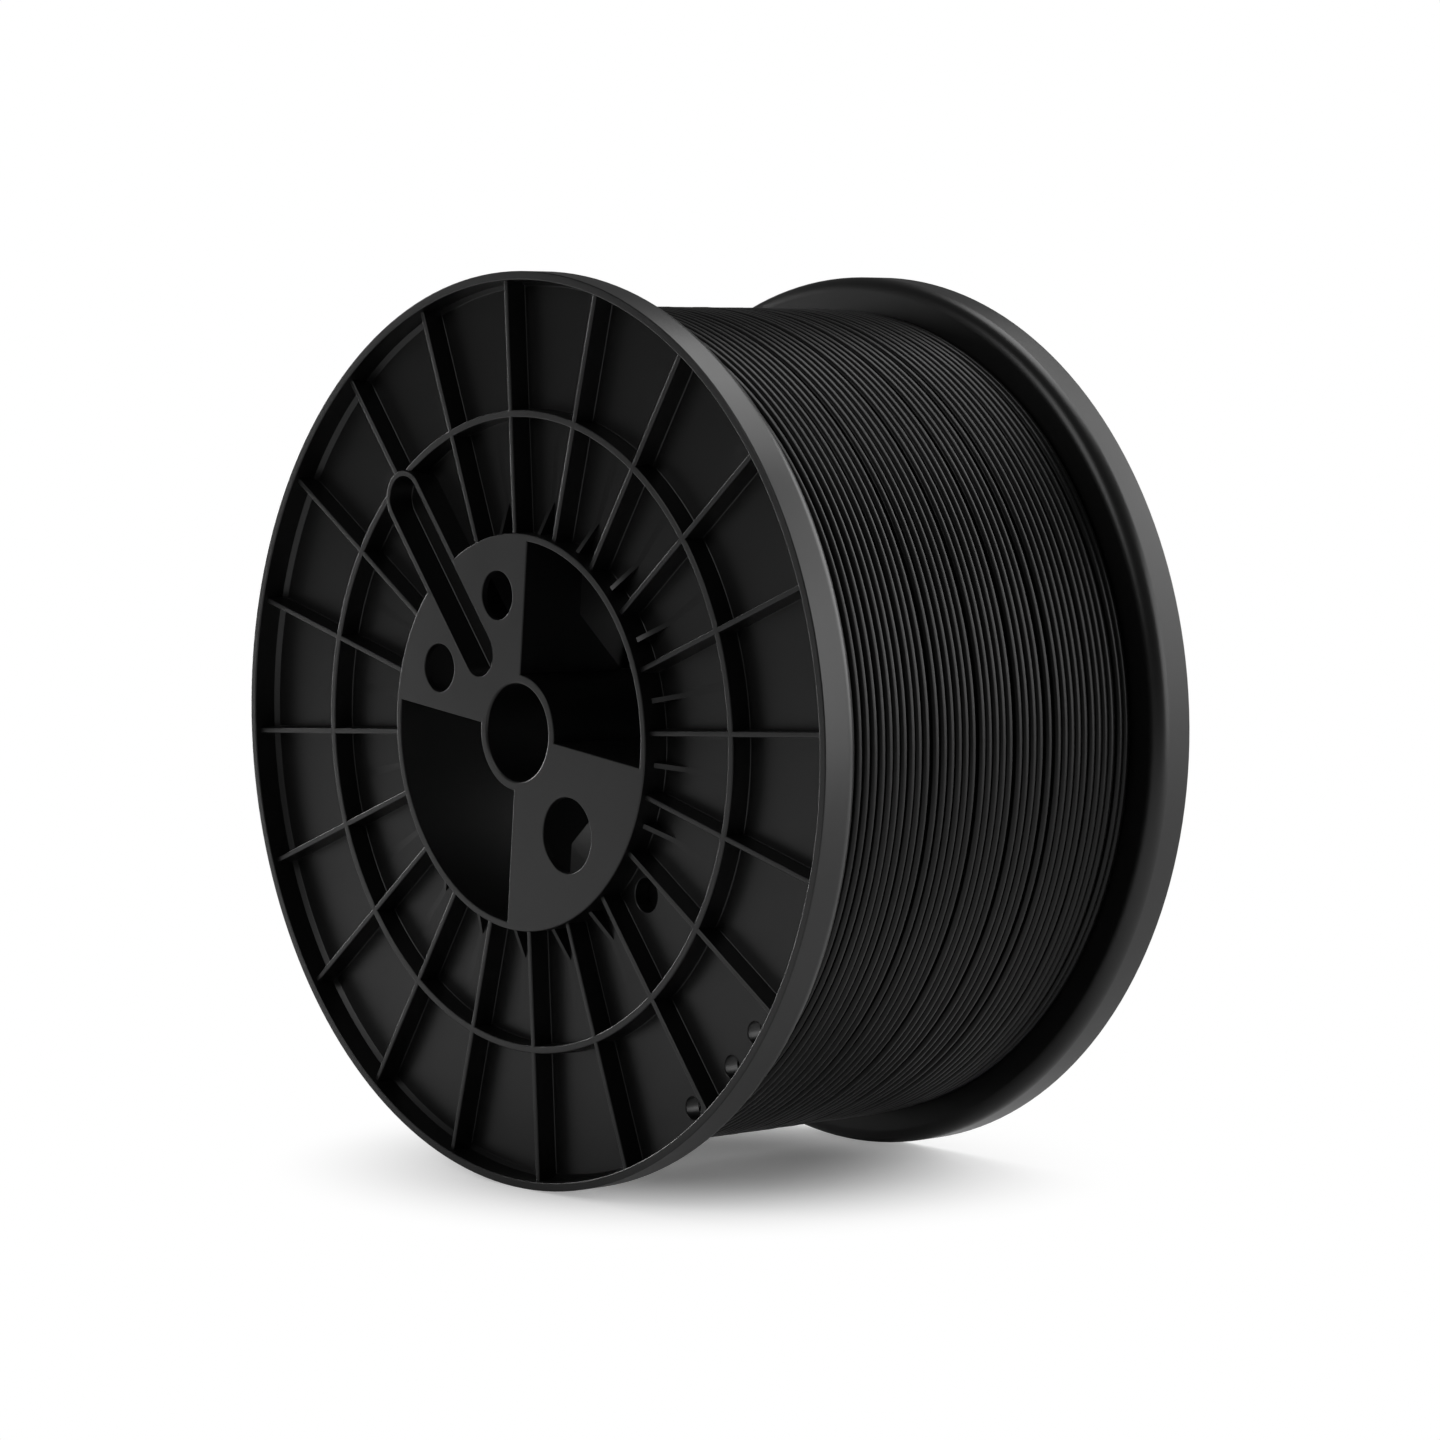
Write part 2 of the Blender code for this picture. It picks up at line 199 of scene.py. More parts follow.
def rounded(outline):
    """The closed outline with each (x, y, radius) corner made an arc, inside or outside."""
    points = []
    for i, corner in enumerate(outline):
        here = Vector(corner[:2])
        if len(corner) == 2:
            points.append(tuple(here))
            continue
        radius = corner[2]
        before = (Vector(outline[i - 1][:2]) - here).normalized()
        after = (Vector(outline[(i + 1) % len(outline)][:2]) - here).normalized()
        half = before.angle(after) / 2
        centre = here + (before + after).normalized() * radius / sin(half)
        start = here + before * radius / tan(half) - centre
        end = here + after * radius / tan(half) - centre
        steps = min(MOST_ARC_STEPS, max(FEWEST_ARC_STEPS, ceil(radius / ARC_FACET)))
        for step in range(steps + 1):
            arm = start.lerp(end, step / steps).normalized() * radius
            points.append(tuple(centre + arm))
    return points


def new_object(name, bm):
    """An object of the finished shape, with its faces pointing out."""
    bmesh.ops.remove_doubles(bm, verts=bm.verts[:], dist=MERGE_DISTANCE)
    bmesh.ops.recalc_face_normals(bm, faces=bm.faces[:])
    mesh = bpy.data.meshes.new(name)
    bm.to_mesh(mesh)
    bm.free()
    shape = bpy.data.objects.new(name, mesh)
    bpy.context.collection.objects.link(shape)
    return shape


def add_skin(bm, low, high):
    """Faces between two closed rows of as many points each."""
    for i in range(len(low)):
        bm.faces.new((low[i - 1], low[i], high[i], high[i - 1]))


def add_turning(bm, outline, facets):
    """A ring of the closed (radius, height) outline, turned once about Z."""
    rows = []
    for facet in range(facets):
        angle = 2 * pi * facet / facets
        rows.append([bm.verts.new((radius * cos(angle), radius * sin(angle), height))
                     for radius, height in outline])
    for row, after in zip(rows, rows[1:] + rows[:1]):
        add_skin(bm, row, after)


def add_loft(bm, rings, place):
    """A solid through closed rings of as many points each, capped at both ends."""
    rows = [[bm.verts.new(place @ Vector(point)) for point in ring] for ring in rings]
    for low, high in zip(rows, rows[1:]):
        add_skin(bm, low, high)
    bm.faces.new(rows[0])
    bm.faces.new(rows[-1])


def add_prism(bm, outline, low, high, place):
    """A prism of the outline between two heights, moved by the matrix place."""
    add_loft(bm, [[(x, y, height) for x, y in outline] for height in (low, high)], place)


def eased(radius, top):
    """(inset, height) steps of an edge eased to the radius under the top."""
    angles = [pi / 2 * step / EASE_STEPS for step in range(EASE_STEPS + 1)]
    return [(radius * (1 - cos(a)), top - radius * (1 - sin(a))) for a in angles]


def combine(body, operation, tool):
    """Unite the tool with the body, or cut it from the body, and remove the tool."""
    modifier = body.modifiers.new(tool.name, "BOOLEAN")
    modifier.operation = operation
    modifier.solver = "EXACT"
    modifier.object = tool
    depsgraph = bpy.context.evaluated_depsgraph_get()
    result = bpy.data.meshes.new_from_object(body.evaluated_get(depsgraph))
    body.modifiers.clear()
    body.data = result
    bpy.data.objects.remove(tool)


def smooth(shape):
    """Smooth shading that keeps flat faces flat beside their eased edges."""
    shape.data.shade_smooth()
    shape.data.set_sharp_from_angle(angle=radians(SHARP_ANGLE))
    modifier = shape.modifiers.new("flat_faces", "WEIGHTED_NORMAL")
    modifier.keep_sharp = True
    modifier.weight = FLAT_FACE_WEIGHT


def on_axis(heading=0.0, offset=0.0):
    """Where a piece that was made round Z stands on the spool's axis, facing its heading."""
    stand = Matrix.Rotation(radians(90.0), 4, "X") @ turned(ROLL_ANGLE)
    place = Matrix.Translation((0.0, offset, 0.0))
    return place @ Matrix.Rotation(radians(heading), 4, "Z") @ stand


def settings():
    """The values in the panel."""
    return bpy.context.scene.spool


# ---------------------------------------------------------------- materials

def add_node(tree, kind, values=None, links=None, **options):
    """Adds a node with its options, socket values and incoming links."""
    node = tree.nodes.new(kind)
    for key, value in options.items():
        setattr(node, key, value)
    for socket, value in (values or {}).items():
        node.inputs[socket].default_value = value
    for socket, source in (links or {}).items():
        tree.links.new(source, node.inputs[socket])
    return node


def empty_material(name):
    """A material with no nodes yet."""
    material = bpy.data.materials.new(name)
    material.use_nodes = True
    material.node_tree.nodes.clear()
    return material


def moulded_plastic(name, colour, roughness):
    """Injection-moulded ABS in black: a satin skin with the fine grain of a spark-eroded mould."""
    material = empty_material(name)
    tree = material.node_tree
    cloudiness = 0.03
    place = add_node(tree, "ShaderNodeTexCoord").outputs["Object"]
    # Mould grain is taken as about 0.1 mm, and drawn at 0.5 mm so that it shows
    grain = add_node(tree, "ShaderNodeTexNoise", {"Scale": 1 / (0.5 * MM), "Detail": 3.0},
                     {"Vector": place})
    # The melt's flow is taken to cloud the gloss over about 25 mm
    flow = add_node(tree, "ShaderNodeTexNoise", {"Scale": 1 / (25 * MM), "Detail": 2.0},
                    {"Vector": place})
    gloss = add_node(tree, "ShaderNodeMapRange",
                     {"To Min": roughness - cloudiness, "To Max": roughness + cloudiness},
                     {"Value": flow.outputs["Fac"]})
    bump = add_node(tree, "ShaderNodeBump", {"Strength": 0.10, "Distance": 0.03 * MM},
                    {"Height": grain.outputs["Fac"]})
    shader = add_node(tree, "ShaderNodeBsdfPrincipled",
                      {"Base Color": (*colour, 1.0), "IOR": 1.5},
                      {"Roughness": gloss.outputs["Result"], "Normal": bump.outputs["Normal"]})
    add_node(tree, "ShaderNodeOutputMaterial", None, {"Surface": shader.outputs["BSDF"]})
    return material


def extruded_filament(name, colour, roughness):
    """Extruded PLA filament in black: a smooth drawn skin with a faint sheen that varies."""
    material = empty_material(name)
    tree = material.node_tree
    unevenness = 0.04
    place = add_node(tree, "ShaderNodeTexCoord").outputs["Object"]
    # The gloss is taken to change over about 12 mm
    draw = add_node(tree, "ShaderNodeTexNoise", {"Scale": 1 / (12 * MM), "Detail": 2.0},
                    {"Vector": place})
    gloss = add_node(tree, "ShaderNodeMapRange",
                     {"To Min": roughness - unevenness, "To Max": roughness + unevenness},
                     {"Value": draw.outputs["Fac"]})
    # Die lines run along the filament, so they change only with the radius and along the axis
    flat = add_node(tree, "ShaderNodeVectorMath", {1: (1.0, 0.0, 1.0)}, {0: place},
                    operation="MULTIPLY")
    radius = add_node(tree, "ShaderNodeVectorMath", None, {0: flat.outputs["Vector"]},
                      operation="LENGTH")
    along = add_node(tree, "ShaderNodeSeparateXYZ", None, {"Vector": place})
    across = add_node(tree, "ShaderNodeCombineXYZ", None, {"X": radius.outputs["Value"],
                                                           "Y": along.outputs["Y"]})
    # They are taken as about 0.05 mm wide, and drawn at 0.3 mm so that they show
    die = add_node(tree, "ShaderNodeTexNoise", {"Scale": 1 / (0.3 * MM), "Detail": 1.0},
                   {"Vector": across.outputs["Vector"]})
    bump = add_node(tree, "ShaderNodeBump", {"Strength": 0.03, "Distance": 0.02 * MM},
                    {"Height": die.outputs["Fac"]})
    # The index is typical. The specular level has no known cause, and only fits the object's tone
    shader = add_node(tree, "ShaderNodeBsdfPrincipled",
                      {"Base Color": (*colour, 1.0), "IOR": 1.46, "Specular IOR Level": 0.28},
                      {"Roughness": gloss.outputs["Result"], "Normal": bump.outputs["Normal"]})
    add_node(tree, "ShaderNodeOutputMaterial", None, {"Surface": shader.outputs["BSDF"]})
    return material


# ---------------------------------------------------------------- the flange

# All angles are in degrees, from a rib that is level before the flange is rolled

# Eased edges, the fillets at the ribs' feet, and the drafts that let the mould open
EDGE = 0.4 * MM
FILLET = 0.35 * MM
SIDE_DRAFT = 0.2 * MM
RIM_DRAFT = 0.5 * MM
RIM_FOOT = 1.4 * MM

# The two hub plates and the braces under their radial edges
UPPER_PLATE_ANGLE = 126.0
LOWER_PLATE_ANGLE = 306.0
PLATE_SPAN = 88.0
BRACE_THICKNESS = 2.0 * MM
BRACE_DEPTH = 24.0 * MM
BRACE_FLARE = 19.0 * MM

# The gussets round the hub wall, and how clear of slot and hole they stay
GUSSET_THICKNESS = 1.6 * MM
GUSSET_LENGTH = 10.7 * MM
GUSSET_HEIGHT = 5.1 * MM
GUSSET_CLEARANCE = 1.5 * MM

# The slot channel runs from just off the boss to just past the middle ring
SLOT_FLOOR = 2.0 * MM
SLOT_BOSS_GAP = 3.6 * MM
SLOT_RING_OVERRUN = 0.95 * MM

# The drive holes, the first end's hole and the last end's holes
SMALL_HOLE_OFFSET = 26.0
SMALL_HOLE_MARGIN = 9.0 * MM
ANCHOR_HOLE_ANGLE = 315.0
RIM_HOLE_SETBACK = 11.0 * MM
RIM_HOLE_ANGLES = (301.0, 311.0, 317.7)


def pan(s):
    """Rim, web, middle ring, hub wall and spigot, turned from one outline."""
    rim_inner = s.radius - s.rim_wall
    ring_inner = s.ring_radius - s.ring_wall
    hub_inner = s.hub_radius - s.hub_wall
    depth = s.pan_depth + s.web_thickness
    outline = rounded([
        (s.radius, 0.0, EDGE),
        (rim_inner, 0.0, EDGE),
        (rim_inner - RIM_DRAFT, RIM_FOOT - s.pan_depth, EDGE),
        (rim_inner - RIM_DRAFT - RIM_FOOT, -s.pan_depth, FILLET),
        (s.ring_radius + SIDE_DRAFT, -s.pan_depth, FILLET),
        (s.ring_radius, -s.rib_inset, EDGE),
        (ring_inner, -s.rib_inset, EDGE),
        (ring_inner - SIDE_DRAFT, -s.pan_depth, FILLET),
        (s.hub_radius, -s.pan_depth, FILLET),
        (s.hub_radius, 0.0, EDGE),
        (hub_inner, 0.0, EDGE),
        (hub_inner, -s.spigot_depth),
        (s.hub_radius - 2 * EDGE, -s.spigot_depth),
        (s.hub_radius, 2 * EDGE - s.spigot_depth),
        (s.hub_radius, -depth),
        (s.radius, -depth, s.rim_corner),
    ])
    bm = bmesh.new()
    add_turning(bm, outline, LARGE_FACETS)
    return new_object("pan", bm)


def boss(s):
    """Tube round the bore, with its mouth eased."""
    outer = s.bore_radius + s.boss_wall
    outline = rounded([
        (outer, 0.0, EDGE),
        (s.bore_radius, 0.0, 2 * EDGE),
        (s.bore_radius, -s.boss_depth, EDGE),
        (outer, -s.boss_depth, EDGE),
    ])
    bm = bmesh.new()
    add_turning(bm, outline, LARGE_FACETS // 2)
    return new_object("boss", bm)


def sector_ring(inner, outer, inset, height):
    """A plate's outline about its middle, its two radial edges moved in by the inset."""
    half = radians(PLATE_SPAN / 2)
    ring = []
    for radius, sign in ((outer, 1), (inner, -1)):
        reach = half - asin(inset / radius)
        for step in range(PLATE_ARC_STEPS + 1):
            angle = sign * reach * (2 * step / PLATE_ARC_STEPS - 1)
            ring.append((radius * cos(angle), radius * sin(angle), height))
    return ring


def hub_plates(s):
    """Two sector plates between boss and hub wall, with eased radial edges."""
    inner = s.bore_radius + s.boss_wall / 2
    outer = s.hub_radius - s.hub_wall / 2
    bm = bmesh.new()
    for middle in (UPPER_PLATE_ANGLE, LOWER_PLATE_ANGLE):
        rings = [sector_ring(inner, outer, 0.0, -s.plate_thickness)]
        rings += [sector_ring(inner, outer, inset, height) for inset, height in eased(EDGE, -STEP)]
        add_loft(bm, rings, turned(middle))
    return new_object("hub_plates", bm)


def braces(s):
    """Deep walls under the plates' radial edges, flaring down to the boss tube."""
    boss_outer = s.bore_radius + s.boss_wall
    inner = s.bore_radius + s.boss_wall / 2
    outer = s.hub_radius - s.hub_wall / 2
    top = -s.plate_thickness / 2
    outline = [
        (inner, top),
        (outer, top),
        (outer, -BRACE_DEPTH),
        (boss_outer + BRACE_FLARE, -BRACE_DEPTH),
        (inner, -BRACE_DEPTH - BRACE_FLARE - (boss_outer - inner)),
    ]
    bm = bmesh.new()
    for middle in (UPPER_PLATE_ANGLE, LOWER_PLATE_ANGLE):
        add_prism(bm, outline, 0.0, BRACE_THICKNESS,
                  turned(middle + PLATE_SPAN / 2) @ ACROSS_RAY)
        add_prism(bm, outline, -BRACE_THICKNESS, 0.0,
                  turned(middle - PLATE_SPAN / 2) @ ACROSS_RAY)
    return new_object("braces", bm)


def ribs(s):
    """Tapered radial ribs from the hub wall to the rim, one of them cut short by the slot."""
    half = s.rib_thickness / 2
    foot = half + SIDE_DRAFT
    spread = foot + 2 * FILLET
    base = -s.pan_depth - s.web_thickness / 2
    floor = -s.pan_depth - STEP
    top = -s.rib_inset - STEP
    section = rounded([
        (-spread, base), (spread, base), (spread, floor),
        (foot, floor, FILLET), (half, top, EDGE),
        (-half, top, EDGE), (-foot, floor, FILLET),
        (-spread, floor),
    ])
    pitch = 360.0 / s.rib_count
    bm = bmesh.new()
    for number in range(s.rib_count):
        angle = number * pitch
        meets_slot = abs(angle - UPPER_PLATE_ANGLE) < pitch / 2
        start = s.ring_radius if meets_slot else s.hub_radius - s.hub_wall / 2
        add_prism(bm, section, start, s.radius - s.rim_wall / 2, turned(angle) @ ALONG_RAY)
    return new_object("ribs", bm)


def near_ray(angle, other_angle, radius, reach):
    """Whether a ray passes closer than the reach to the point at the other angle and radius."""
    between = radians(angle - other_angle)
    return cos(between) > 0 and abs(radius * sin(between)) < reach


def anchor_centre(s):
    """The anchor hole's distance from the axis, just clear of the drum."""
    return settings().winding.drum_radius + s.anchor_hole


def gussets(s):
    """Small webs that prop the hub wall, left out beside the slot and at the anchor hole."""
    inner = s.hub_radius - s.hub_wall / 2
    base = -s.pan_depth - s.web_thickness / 2
    outline = [
        (inner, base),
        (s.hub_radius + GUSSET_LENGTH, base),
        (s.hub_radius + GUSSET_LENGTH, -s.pan_depth),
        (s.hub_radius, GUSSET_HEIGHT - s.pan_depth),
        (inner, GUSSET_HEIGHT - s.pan_depth),
    ]
    half = GUSSET_THICKNESS / 2
    margin = half + GUSSET_CLEARANCE
    bm = bmesh.new()
    for number in range(s.rib_count):
        angle = (number + 0.5) * 360.0 / s.rib_count
        in_slot = near_ray(angle, UPPER_PLATE_ANGLE, s.hub_radius,
                           s.slot_width / 2 + s.slot_wall + margin)
        in_hole = near_ray(angle, ANCHOR_HOLE_ANGLE, anchor_centre(s), s.anchor_hole + margin)
        if not in_slot and not in_hole:
            add_prism(bm, outline, -half, half, turned(angle) @ ACROSS_RAY)
    return new_object("gussets", bm)


def slot_ring(s, half_width, height):
    """A long outline with round ends, at a height."""
    inner = s.bore_radius + s.boss_wall + SLOT_BOSS_GAP + s.slot_wall + s.slot_width / 2
    outer = s.ring_radius + SLOT_RING_OVERRUN - s.slot_wall - s.slot_width / 2
    ring = []
    for centre, side in ((outer, -pi / 2), (inner, pi / 2)):
        for step in range(SLOT_END_STEPS + 1):
            angle = side + pi * step / SLOT_END_STEPS
            ring.append((centre + half_width * cos(angle), half_width * sin(angle), height))
    return ring


def slot_body(s):
    """The slot channel's walls and floor, still solid, with an eased top edge."""
    half = s.slot_width / 2 + s.slot_wall
    rings = [slot_ring(s, half, -s.slot_depth - SLOT_FLOOR)]
    rings += [slot_ring(s, half - inset, height) for inset, height in eased(EDGE, -2 * STEP)]
    bm = bmesh.new()
    add_loft(bm, rings, turned(UPPER_PLATE_ANGLE))
    return new_object("slot_body", bm)


def slot_channel(s):
    """The cutter that opens the slot channel, flared at its mouth and eased at its floor."""
    half = s.slot_width / 2
    floor = [(-FILLET * (1 - cos(a)), -s.slot_depth + FILLET * (1 - sin(a)))
             for a in (pi / 2, pi / 3, pi / 6, 0.0)]
    rings = [slot_ring(s, half + inset, height) for inset, height in floor + eased(EDGE, STEP)]
    rings.append(slot_ring(s, half + EDGE, CUTTER_MARGIN))
    bm = bmesh.new()
    add_loft(bm, rings, turned(UPPER_PLATE_ANGLE))
    return new_object("slot_channel", bm)


def add_plug(bm, outline, facets, place):
    """A round solid through the (radius, height) steps of the outline, moved by place."""
    rings = [[(radius * cos(2 * pi * i / facets), radius * sin(2 * pi * i / facets), height)
              for i in range(facets)] for radius, height in outline]
    add_loft(bm, rings, place)


def add_hole(bm, radius, centre, angle, top, low):
    """A round cutter from above the top down to the low height, flared at the top."""
    flare = [(radius + inset, height) for inset, height in eased(EDGE, top)]
    outline = [(radius, low)] + flare + [(radius + EDGE, CUTTER_MARGIN)]
    place = turned(angle) @ Matrix.Translation((centre, 0.0, 0.0))
    add_plug(bm, outline, HOLE_FACETS, place)


def round_holes(s):
    """Cutters for the plates' drive holes and the holes that the filament's ends pass through."""
    boss_outer = s.bore_radius + s.boss_wall
    hub_inner = s.hub_radius - s.hub_wall
    plate_low = -s.plate_thickness - CUTTER_MARGIN
    web_top = -s.pan_depth + STEP
    web_low = -s.pan_depth - s.web_thickness - CUTTER_MARGIN
    bm = bmesh.new()
    for side in (-1, 1):
        add_hole(bm, s.small_hole, hub_inner - SMALL_HOLE_MARGIN - s.small_hole,
                 UPPER_PLATE_ANGLE + side * SMALL_HOLE_OFFSET, 0.0, plate_low)
    add_hole(bm, s.large_hole, (boss_outer + hub_inner) / 2, LOWER_PLATE_ANGLE, 0.0, plate_low)
    add_hole(bm, s.anchor_hole, anchor_centre(s), ANCHOR_HOLE_ANGLE, web_top, web_low)
    for angle in RIM_HOLE_ANGLES:
        add_hole(bm, s.rim_hole, s.radius - RIM_HOLE_SETBACK, angle, web_top, web_low)
    return new_object("round_holes", bm)


def whole_flange(s):
    """One moulding, made round Z with its outer face at height 0."""
    body = pan(s)
    for piece in (boss(s), hub_plates(s), braces(s), ribs(s), gussets(s), slot_body(s)):
        combine(body, "UNION", piece)
    for cutter in (slot_channel(s), round_holes(s)):
        combine(body, "DIFFERENCE", cutter)
    return body


# ---------------------------------------------------------------- drum and winding

# Where each turn steps over to its neighbour's place, in degrees
STEP_OVER_ANGLE = 200.0
# How wide a gap tends to stay all the way round, against the others
GAP_HABITS = (0.1, 0.4, 0.8, 2.4)
# Gaps beside the front flange where the last turns lie further apart, and how much wider they are
LOOSE_GAPS = 5
LOOSE_FACTOR = 2.0
# Share of a turn's sag that stays all the way round
STEADY_SAG = 0.6
# How far the packed layers lie under the last layer's top, in diameters
CORE_DEPTH = 0.8
# Points along one turn, and the resolution of the filament's round section
TURN_POINTS = 144
SECTION_RESOLUTION = 5
# The ends dive under their neighbours over this share of a turn, this many diameters deep
DIVE_SHARE = 0.12
DIVE_DEPTH = 0.8


def half_room():
    """Half the width between the two flanges, less the clearance."""
    flange = settings().flange
    return WIDTH / 2 - flange.pan_depth - flange.web_thickness - FIT_GAP


def drum_tube(s):
    """The tube over both spigots."""
    half = half_room()
    inner = s.drum_radius - s.drum_wall
    outline = rounded([
        (s.drum_radius, half, EDGE), (inner, half, EDGE),
        (inner, -half, EDGE), (s.drum_radius, -half, EDGE),
    ])
    bm = bmesh.new()
    add_turning(bm, outline, LARGE_FACETS)
    return new_object("drum_tube", bm)


def winding_core(s):
    """The layers under the last one, from the drum up."""
    half = half_room()
    inner = s.drum_radius + FIT_GAP
    outer = s.wound_radius - CORE_DEPTH * s.diameter
    corner = s.diameter / 3
    outline = rounded([
        (outer, half, corner), (inner, half), (inner, -half), (outer, -half, corner),
    ])
    bm = bmesh.new()
    add_turning(bm, outline, LARGE_FACETS)
    return new_object("winding_core", bm)


def lay_turns(s, room):
    """Heights and drops of the last layer's turns at stations round the spool.

    The free width is shared out a little unevenly, with more of it beside the front flange,
    and the uneven places drift from station to station.
    """
    random = Random(s.seed)
    free = room - s.turns * s.diameter
    habits = [random.choice(GAP_HABITS) for _ in range(s.turns + 1)]
    for gap in range(1, LOOSE_GAPS + 1):
        habits[-gap] *= LOOSE_FACTOR
    drops = [random.uniform(0.0, 1.0) for _ in range(s.turns)]
    stations = []
    for _ in range(s.stations):
        gaps = [habit + s.wander * random.random() for habit in habits]
        scale = free / sum(gaps)
        height, row = 0.0, []
        for turn in range(s.turns):
            height += gaps[turn] * scale
            from_end = min(turn / s.end_turns, (s.turns - 1 - turn) / s.end_turns, 1.0)
            drop = s.sag * (STEADY_SAG * drops[turn] + (1 - STEADY_SAG) * random.random())
            row.append((height + s.diameter / 2, drop + s.end_drop * (1 - from_end) ** 2))
            height += s.diameter
        stations.append(row)
    return stations


def last_layer(s):
    """The last layer: one filament laid side by side, stepping over once in each turn."""
    room = 2 * half_room()
    stations = lay_turns(s, room)
    points = s.turns * TURN_POINTS
    curve = bpy.data.curves.new("last_layer", "CURVE")
    curve.dimensions = "3D"
    curve.bevel_depth = s.diameter / 2
    curve.bevel_resolution = SECTION_RESOLUTION
    curve.use_fill_caps = True
    spline = curve.splines.new("POLY")
    spline.points.add(points - 1)
    for number in range(points):
        turn, step = divmod(number, TURN_POINTS)
        place = step / TURN_POINTS * s.stations
        station = int(place)
        part = place - station
        here = stations[station][turn]
        last = station == s.stations - 1
        after = stations[0][min(turn + 1, s.turns - 1)] if last else stations[station + 1][turn]
        # Smooth from one station to the next
        ease = part * part * (3 - 2 * part)
        height = here[0] + (after[0] - here[0]) * ease
        drop = here[1] + (after[1] - here[1]) * ease
        from_end = min(number, points - 1 - number) / (DIVE_SHARE * TURN_POINTS)
        drop += s.diameter * DIVE_DEPTH * (1 - min(from_end, 1.0)) ** 2
        radius = s.wound_radius - s.diameter / 2 - drop
        angle = radians(STEP_OVER_ANGLE) + 2 * pi * step / TURN_POINTS
        spline.points[number].co = (radius * cos(angle), radius * sin(angle),
                                    height - room / 2, 1.0)
    shape = bpy.data.objects.new("last_layer", curve)
    bpy.context.collection.objects.link(shape)
    return shape


# ---------------------------------------------------------------- studio

CAMERA_PLACE = Vector((7.9225 * RADIUS, -6.2735 * RADIUS - WIDTH / 2, 0.7755 * RADIUS))
CAMERA_AZIMUTH = 49.119
CAMERA_ELEVATION = 4.236
CAMERA_LENS = 116.39
# Nothing nearer to the camera than this is seen, in metres
CAMERA_NEAR = 0.05

WHITE = (1.0, 1.0, 1.0, 1.0)
# Strength of the soft light from all round
SOFT_LIGHT = 0.1
FLOOR_RADIUS = 4.0
# The floor's colour as it lights the spool
MATT_WHITE = (0.9, 0.9, 0.9, 1.0)
# Its colour to the eye, lifted so that only the spool's shadow is darker than white
LIFTED_WHITE = (1.2, 1.2, 1.2, 1.0)
# Distances from under the spool's middle between which the shadow gives way to plain white
SHADOW_WHOLE = 0.03
SHADOW_GONE = 0.15

SOFTBOX_DISTANCE = 1.65
# Watts for each square metre of a softbox, at a brightness of 1
SOFTBOX_WATTS = 4
# Name, azimuth and elevation in degrees, size in metres, brightness. The azimuth runs from
# behind the back flange round to the right
SOFTBOXES = (
    ("right_softbox", 66.0, 14.0, 1.1, 2.2),
    ("back_softbox", 18.0, 21.0, 1.3, 2.2),
    ("top_softbox", 0.0, 65.0, 1.1, 2.1),
    ("front_softbox", 186.0, 30.0, 0.8, 2.0),
    ("left_softbox", 267.0, 6.0, 0.7, 9.0),
)


def white_studio(name):
    """World: plain white to the eye, and soft light from all round."""
    world = bpy.data.worlds.new(name)
    world.use_nodes = True
    tree = world.node_tree
    tree.nodes.clear()
    rays = add_node(tree, "ShaderNodeLightPath")
    light = add_node(tree, "ShaderNodeBackground", {"Color": WHITE, "Strength": SOFT_LIGHT})
    seen = add_node(tree, "ShaderNodeBackground", {"Color": WHITE, "Strength": 1.0})
    both = add_node(tree, "ShaderNodeMixShader", None, {0: rays.outputs["Is Camera Ray"],
                                                        1: light.outputs["Background"],
                                                        2: seen.outputs["Background"]})
    add_node(tree, "ShaderNodeOutputWorld", None, {"Surface": both.outputs["Shader"]})
    return world


def seamless_floor(name):
    """White sweep: keeps the spool's shadow near it and turns to plain white further off."""
    material = empty_material(name)
    tree = material.node_tree
    rays = add_node(tree, "ShaderNodeLightPath")
    place = add_node(tree, "ShaderNodeTexCoord").outputs["Object"]
    distance = add_node(tree, "ShaderNodeVectorMath", None, {0: place}, operation="LENGTH")
    fade = add_node(tree, "ShaderNodeMapRange",
                    {"From Min": SHADOW_WHOLE, "From Max": SHADOW_GONE},
                    {"Value": distance.outputs["Value"]}, interpolation_type="SMOOTHSTEP")
    matt = add_node(tree, "ShaderNodeBsdfDiffuse", {"Color": MATT_WHITE})
    near = add_node(tree, "ShaderNodeBsdfDiffuse", {"Color": LIFTED_WHITE})
    white = add_node(tree, "ShaderNodeEmission", {"Color": WHITE, "Strength": 1.0})
    seen = add_node(tree, "ShaderNodeMixShader", None, {0: fade.outputs["Result"],
                                                        1: near.outputs["BSDF"],
                                                        2: white.outputs["Emission"]})
    both = add_node(tree, "ShaderNodeMixShader", None, {0: rays.outputs["Is Camera Ray"],
                                                        1: matt.outputs["BSDF"],
                                                        2: seen.outputs["Shader"]})
    add_node(tree, "ShaderNodeOutputMaterial", None, {"Surface": both.outputs["Shader"]})
    return material


def add_softbox(name, azimuth, elevation, size, brightness):
    """A square softbox that faces the spool's middle."""
    round_spool = SOFTBOX_DISTANCE * cos(radians(elevation))
    place = Vector((round_spool * sin(radians(azimuth)), round_spool * cos(radians(azimuth)),
                    SOFTBOX_DISTANCE * sin(radians(elevation))))
    lamp = bpy.data.lights.new(name, "AREA")
    lamp.size = size
    lamp.energy = SOFTBOX_WATTS * brightness * size ** 2
    shape = bpy.data.objects.new(name, lamp)
    shape.location = place
    shape.rotation_euler = (-place).to_track_quat("-Z", "Y").to_euler()
    shape.visible_camera = False
    bpy.context.collection.objects.link(shape)
    return shape


# ---------------------------------------------------------------- operators

